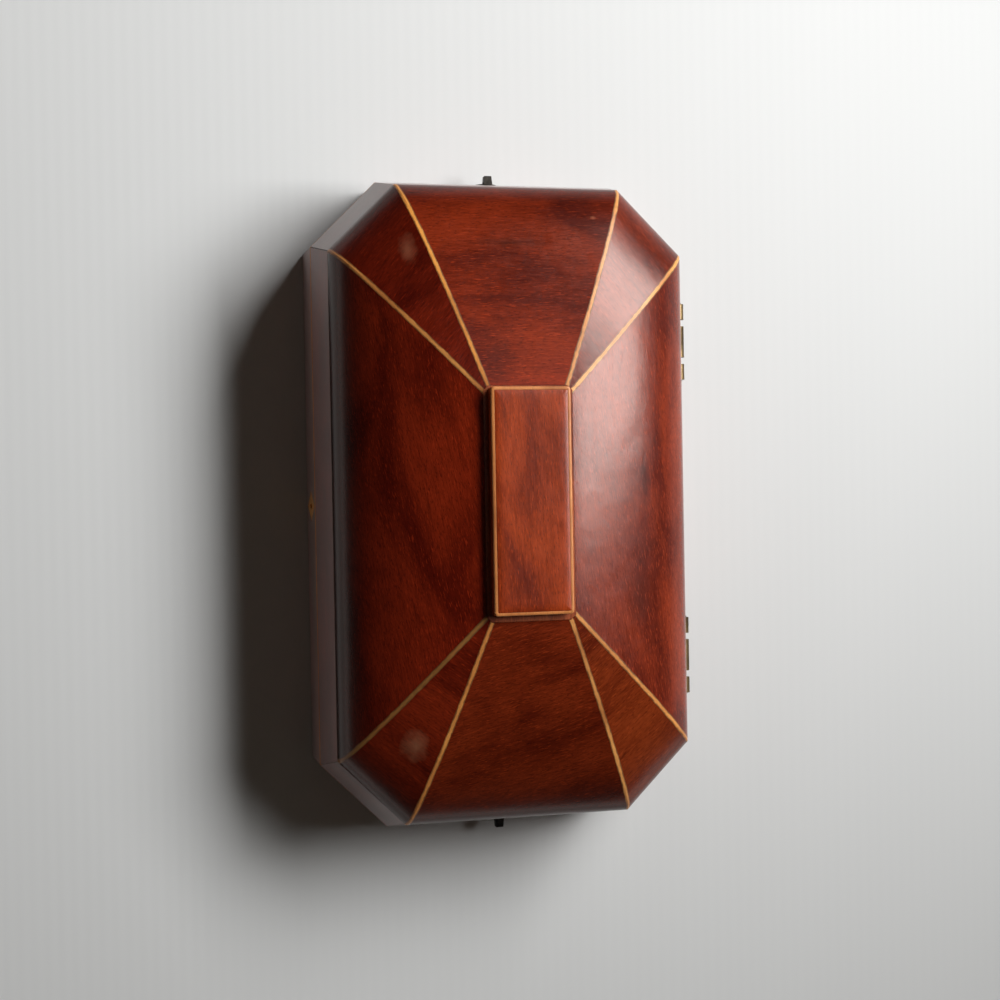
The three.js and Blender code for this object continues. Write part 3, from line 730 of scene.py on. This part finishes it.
for side, side_name in enumerate(side_names):
    start_trim = mitre_trim(side, side - 1, string_width / 2 + joint_line)
    end_trim = mitre_trim(side, side, string_width / 2 + joint_line)
    sizes = dict(dome_rule, Columns=9, Rows=57, Direction=side * math.pi / 4 - math.pi / 2)
    for label, reach in (("Top", dome_top), ("Base", dome_outer)):
        sizes[f"{label} reach"] = reach[side] * mm
        sizes[f"{label} start"] = (corner(reach, side - 1).dot(along(side)) + start_trim) * mm
        sizes[f"{label} end"] = (corner(reach, side).dot(along(side)) - end_trim) * mm
    sizes["Outside"] = wood(
        f"{side_name}_panel_polish", colour(*side_tones_lit_and_shaded[side_name]), panel_grain[side_name], 60 + side,
        gloss=0.21, painted_edge_shade=panel_painted_edge_shade[side_name], shine=panel_shine[side_name])
    for mark in panel_marks_and_highlights.get(side_name, []):
        mark_or_painted_highlight(sizes["Outside"], *mark)
    sizes["Inside"] = bare_lid_wood
    panel = grown(f"{side_name}_dome_panel_wood", panel_tree, sizes)
    fitted(panel, "lid", "case_wood", f"{side_name}_dome_panel")


# Hip stringing: a pale strip glued into each mitre of the dome and scraped flush, so that it is a
# narrow ridge with one half in the plane of each panel beside it. Its edges wander, as hand work does.
strip_waves = 14.0


def hip_plan(tree, given, across, out):
    half = node_value(tree, "ROUND", across)
    spot = add_node(tree, "ShaderNodeCombineXYZ", {
        "X": node_value(tree, "MULTIPLY", out, strip_waves),
        "Y": node_value(tree, "MULTIPLY", half, given["Seed"]),
    })
    wander = noisy(tree, spot.outputs[0], 1, 2, noise_dimensions="2D")
    wander = node_value(tree, "MULTIPLY", node_value(tree, "SUBTRACT", wander, 0.5), given["Wander"])
    wide = node_value(tree, "ADD", 1.0, wander)
    twice = node_value(tree, "MULTIPLY", across, 2.0)
    before = node_value(tree, "MAXIMUM", node_value(tree, "SUBTRACT", 1.0, twice), 0.0)
    after = node_value(tree, "MAXIMUM", node_value(tree, "SUBTRACT", twice, 1.0), 0.0)
    place = []
    for axis in "XY":
        hip = lerped(tree, given[f"Top {axis}"], given[f"Base {axis}"], out)
        sideways = node_value(tree, "ADD", node_value(tree, "MULTIPLY", given[f"Before {axis}"], before),
                              node_value(tree, "MULTIPLY", given[f"After {axis}"], after))
        place.append(node_value(tree, "ADD", hip, node_value(tree, "MULTIPLY", sideways, wide)))
    return place


hip_tree = shaped_tree(
    "hip stringing",
    ("Wander", "Seed", *[f"{label} {axis}" for label in ("Top", "Base", "Before", "After") for axis in "XY"]),
    hip_plan,
)
hip_tones = [
    (134, 92, 46), (208, 138, 70), (220, 152, 84), (222, 150, 80),
    (230, 160, 88), (228, 158, 88), (222, 146, 68), (186, 122, 62),
]
string_spread, string_proud = 1.28, 0.06
for side, side_name in enumerate(side_names):
    before = along(side) * -mitre_trim(side, side, string_spread * string_width / 2)
    after = along(side + 1) * mitre_trim(side + 1, side, string_spread * string_width / 2)
    line = corner(dome_outer, side) - corner(dome_top, side)
    sizes = dict(dome_rule, Columns=3, Rows=97, Wander=0.5, Seed=7.3 + side)
    sizes["Height"] += string_proud * mm
    for label, place in (("Top", corner(dome_top, side)), ("Base", corner(dome_outer, side)),
                         ("Before", before), ("After", after)):
        sizes[f"{label} X"], sizes[f"{label} Y"] = place.x * mm, place.y * mm
    strip_skin = pale_strip(f"pale_hip_strip_{side + 1}", math.degrees(math.atan2(line.y, line.x)), 70 + side,
                            hip_tones[side], grime=0.85)
    sizes["Outside"] = sizes["Inside"] = strip_skin
    strip = grown(f"hip_strip_{side + 1}", hip_tree, sizes)
    fitted(strip, "lid", "stringing", f"hip_stringing_{side + 1}")


# Crown board: closes the dome at the top and carries the tablet, which leaves a narrow dark ledge.
crown_top = dome_base + dome_height
crown_gap = 0.05
crown_edge = inset(dome_top, crown_gap)
crown = slab("crown_board_wood", [corner(crown_edge, s) for s in range(8)],
             crown_top - crown_thickness + glue_line, crown_top)
crown.data.materials.append(wood("crown_polish", colour(140, 66, 34), 0, 80, gloss=0.35))
crown.data.materials.append(bare_lid_wood)
for face in crown.data.polygons:
    face.material_index = int(face.normal.z < -0.5)
fitted(eased(crown, 0.25), "lid", "case_wood", "crown_board")


# Tablet: a flat board on the crown with its grain along the box, rebated for a pale strip all
# round its top edge. The strip and the board are rounded over together.
tablet_length, tablet_width, tablet_height, tablet_shift = 52, 18.8, 6, -1.2
edge_string = 1.5
tablet_top = crown_top + tablet_height


def oblong(depth, radius):
    """The tablet's outline, a depth in from its edge, with its corners rounded."""
    half_length, half_width = tablet_length - depth - radius, tablet_width - depth - radius
    turns = [math.pi * (quarter / 2 + step / 8) for quarter in range(4) for step in range(5)]
    quarters = [q for q in ((1, 1), (-1, 1), (-1, -1), (1, -1)) for _ in range(5)]
    return [
        (tablet_shift + x * half_length + radius * math.cos(turn), y * half_width + radius * math.sin(turn))
        for turn, (x, y) in zip(turns, quarters)
    ]


def stepped(name, loops, ring=False):
    """A closed body through level loops given from the bottom up, or a ring that closes on itself."""
    count = len(loops[0][0])
    points = [(*p, z) for outline, z in loops for p in outline]
    faces = quads_between(len(loops), count, closed=ring)
    return made(name, points, faces if ring else faces + end_caps(len(loops), count))


corner_round, string_corner = 1.6, 0.5
step = edge_string + joint_line
shelf = tablet_top - edge_string - joint_line
# How far in from the strip, and how far under the top, each line of the board's rounding lies
board_rounding = [(0, 0.42), (0.5, 0.30), (1.2, 0.17), (2.2, 0.07), (3.6, 0.015), (5.5, 0)]
tablet = stepped("tablet_wood_board", [
    (oblong(0, corner_round), crown_top + glue_line),
    (oblong(0, corner_round), shelf),
    (oblong(step, string_corner), shelf),
    *[(oblong(step + inwards, string_corner), tablet_top - under) for inwards, under in board_rounding],
])
tablet.data.materials.append(wood("tablet_polish", colour(136, 47, 15), 4, 81, gloss=0.30))
fitted(eased(tablet, 0.1, sharper_than=50), "lid", "tablet_wood", "tablet")

# The same for the strip, from its outer edge, with how much tighter each line's corners are
strip_rounding = [(0, 1.05, 0), (0.06, 0.82, 0), (0.22, 0.62, 0.1), (0.5, 0.50, 0.3), (0.9, 0.44, 0.6)]
string_low = tablet_top - edge_string
tablet_string = stepped("tablet_strip", [
    (oblong(edge_string, string_corner), string_low),
    (oblong(0, corner_round), string_low),
    *[(oblong(inwards, corner_round - tighter), tablet_top - under)
      for inwards, under, tighter in strip_rounding],
    (oblong(edge_string, string_corner), tablet_top - board_rounding[0][1]),
], ring=True)
tablet_string.data.materials.append(pale_strip("pale_tablet_strip", 0, 82, (200, 126, 70)))
fitted(eased(tablet_string, 0.08, sharper_than=50), "lid", "stringing", "tablet_stringing")


# Hinges: two brass butt hinges let into the back of the case and the lid, with their knuckles
# standing proud round a steel pin. The leaves are folded sheet, so their edges are soft.
for end in ("left", "right"):
    for level, body in (("lower", "case"), ("upper", "lid")):
        leaf = sawn(f"{end}_hinge_{level}_leaf", f"{end}_hinge_{level}_leaf_brass")
        leaf.data.materials.append(aged_brass)
        fitted(eased(leaf, 0.15), body, "brass", f"{end}_hinge_{level}_leaf")
    pin = sawn(f"{end}_hinge_pin", f"{end}_hinge_pin_steel")
    pin.data.materials.append(drawn_steel)
    fitted(eased(pin, 0.12), "case", "steel", f"{end}_hinge_pin")


# Screws: small slotted brass screws with countersunk heads, eight in the hinges, two in the lock
# and two in the link plate. Each was turned home by hand, so no two slots point alike.
def screw_tree():
    tree, given = new_tree(
        "slotted screws", Int=("Seed",), Material=("Brass",),
        Float=("Head radius", "Head depth", "Shank radius", "Length", "Slot width", "Slot depth"))

    def taper(vertices, bottom, top, depth):
        """A tapered body that hangs down from the origin."""
        body = add_node(tree, "GeometryNodeMeshCone", {
            "Vertices": vertices, "Radius Bottom": bottom, "Radius Top": top, "Depth": depth,
        })
        low = add_node(tree, "ShaderNodeCombineXYZ", {"Z": node_value(tree, "MULTIPLY", depth, -1.0)})
        inputs = {"Geometry": body.outputs["Mesh"], "Translation": low.outputs[0]}
        return add_node(tree, "GeometryNodeTransform", inputs).outputs["Geometry"]

    tip_radius = node_value(tree, "MULTIPLY", given["Shank radius"], 0.3)
    head = taper(24, given["Shank radius"], given["Head radius"], given["Head depth"])
    shank = taper(16, tip_radius, given["Shank radius"], given["Length"])
    slot_size = add_node(tree, "ShaderNodeCombineXYZ", {
        "X": node_value(tree, "MULTIPLY", given["Head radius"], 3.0), "Y": given["Slot width"],
        "Z": node_value(tree, "MULTIPLY", given["Slot depth"], 2.0),
    })
    slot = add_node(tree, "GeometryNodeMeshCube", {"Size": slot_size.outputs[0]})
    slotted = add_node(tree, "GeometryNodeMeshBoolean", {
        "Mesh 1": head, "Mesh 2": slot.outputs["Mesh"],
    }, operation="DIFFERENCE", solver="EXACT")
    both = add_node(tree, "GeometryNodeJoinGeometry", {"Geometry": slotted.outputs["Mesh"]})
    feed(tree, both, {"Geometry": shank})

    turn = add_node(tree, "FunctionNodeRandomValue", {2: 0.0, 3: math.pi, "Seed": given["Seed"]},
                    data_type="FLOAT")
    spin = add_node(tree, "ShaderNodeCombineXYZ", {"Z": turn.outputs[1]})
    way = add_node(tree, "GeometryNodeInputNamedAttribute", {"Name": "way"}, data_type="FLOAT_VECTOR")
    spin_turn, way_turn = (
        add_node(tree, "FunctionNodeEulerToRotation", {"Euler": angles}).outputs["Rotation"]
        for angles in (spin.outputs[0], way.outputs["Attribute"])
    )
    turned = add_node(tree, "FunctionNodeRotateRotation", {
        "Rotation": way_turn, "Rotate By": spin_turn,
    }, rotation_space="LOCAL")
    driven = add_node(tree, "GeometryNodeInstanceOnPoints", {
        "Points": given["Geometry"], "Instance": both.outputs["Geometry"],
        "Rotation": turned.outputs["Rotation"],
    })
    whole = add_node(tree, "GeometryNodeRealizeInstances", {"Geometry": driven.outputs["Instances"]})
    finished = add_node(tree, "GeometryNodeSetMaterial", {
        "Geometry": whole.outputs["Geometry"], "Material": given["Brass"],
    })
    add_node(tree, "NodeGroupOutput", {"Geometry": finished.outputs["Geometry"]})
    return tree


screws = screw_tree()


def screwed(name, places, way, head_radius, shank_radius, length, seed):
    marks = bpy.data.meshes.new(name)
    marks.from_pydata([Vector(p) * mm for p in places], [], [])
    facing = marks.attributes.new("way", "FLOAT_VECTOR", "POINT")
    for mark in facing.data:
        mark.vector = way
    return grown(name, screws, {
        "Head radius": head_radius * mm, "Head depth": 0.9 * mm, "Shank radius": shank_radius * mm,
        "Length": length * mm, "Slot width": 0.5 * mm, "Slot depth": 0.4 * mm, "Seed": seed,
        "Brass": aged_brass,
    }, start=marks, sharper_than=30)


hinge_centres, screw_spacing, leaf_reach = (-78.7, 78.7), 12.5, 7.3
leaf_middle = case_width - leaf_reach / 2
hinge_marks = [(c + way * screw_spacing, leaf_middle) for c in hinge_centres for way in (-1, 1)]
face_up, face_down, face_in = (0, 0, 0), (math.pi, 0, 0), (-math.pi / 2, 0, 0)
# A screw's head radius, shank radius and length
plate_screw, lock_screw = (2.1, 0.9, 7), (1.3, 0.7, 4.4)
for level, body, height, way, seed in (
    ("lower", "case", 27.9, face_up, 3),
    ("upper", "lid", 28.5, face_down, 5),
):
    places = [(*mark, height) for mark in hinge_marks]
    hinge_screws = screwed(f"{level}_hinge_screws", places, way, *plate_screw, seed)
    fitted(hinge_screws, body, "brass", *[f"{level}_hinge_screw_{i}" for i in range(1, 5)])

flange_hole, flange_face, flange_height = 18.7, -82.0, 13.6
lock_marks = [(way * flange_hole, flange_face, flange_height) for way in (-1, 1)]
lock_screws = screwed("lock_screws", lock_marks, face_in, *lock_screw, 8)
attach(lock_screws, "case")

inner_face, lock_depth, lock_plate = 81.8, 5.2, 1
link_hole, link_middle, link_low = 9, -(inner_face + lock_depth / 2 + lock_plate / 2), 28.55
link_marks = [(way * link_hole, link_middle, link_low) for way in (-1, 1)]
link_screws = screwed("link_plate_screws", link_marks, face_down, *plate_screw, 11)
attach(link_screws, "lid")


# End fittings: on each end a tapered square post of blackened iron, driven into the wall, with a
# drop ring hanging from an eye through the post.
ring_height, ring_radius, ring_wire, ring_out = 14, 5.4, 0.75, 157.4
blackened_iron = metal(
    "blackened_iron", colour(66, 62, 58), colour(28, 26, 25), 0.45, blotch=300, relief=0.35)


def ring_loop(name, way):
    around, section = 64, 14
    points = []
    for i in range(around):
        turn = 2 * math.pi * i / around
        for j in range(section):
            bend = 2 * math.pi * j / section
            reach = ring_radius + ring_wire * math.cos(bend)
            points.append((
                way * ring_out + ring_wire * math.sin(bend),
                reach * math.sin(turn),
                ring_height - ring_radius + reach * math.cos(turn),
            ))
    ring = made(name, points, quads_between(around, section, closed=True))
    ring.data.shade_smooth()
    return ring


for end, way in (("left", -1), ("right", 1)):
    post = sawn(f"{end}_ring_post", f"{end}_ring_post_iron")
    post.data.materials.append(blackened_iron)
    fitted(eased(post, 0.3), "case", "black_iron", f"{end}_ring_post")
    ring = ring_loop(f"{end}_ring_iron", way)
    ring.data.materials.append(blackened_iron)
    fitted(ring, f"{end}_ring", "black_iron", f"{end}_drop_ring")
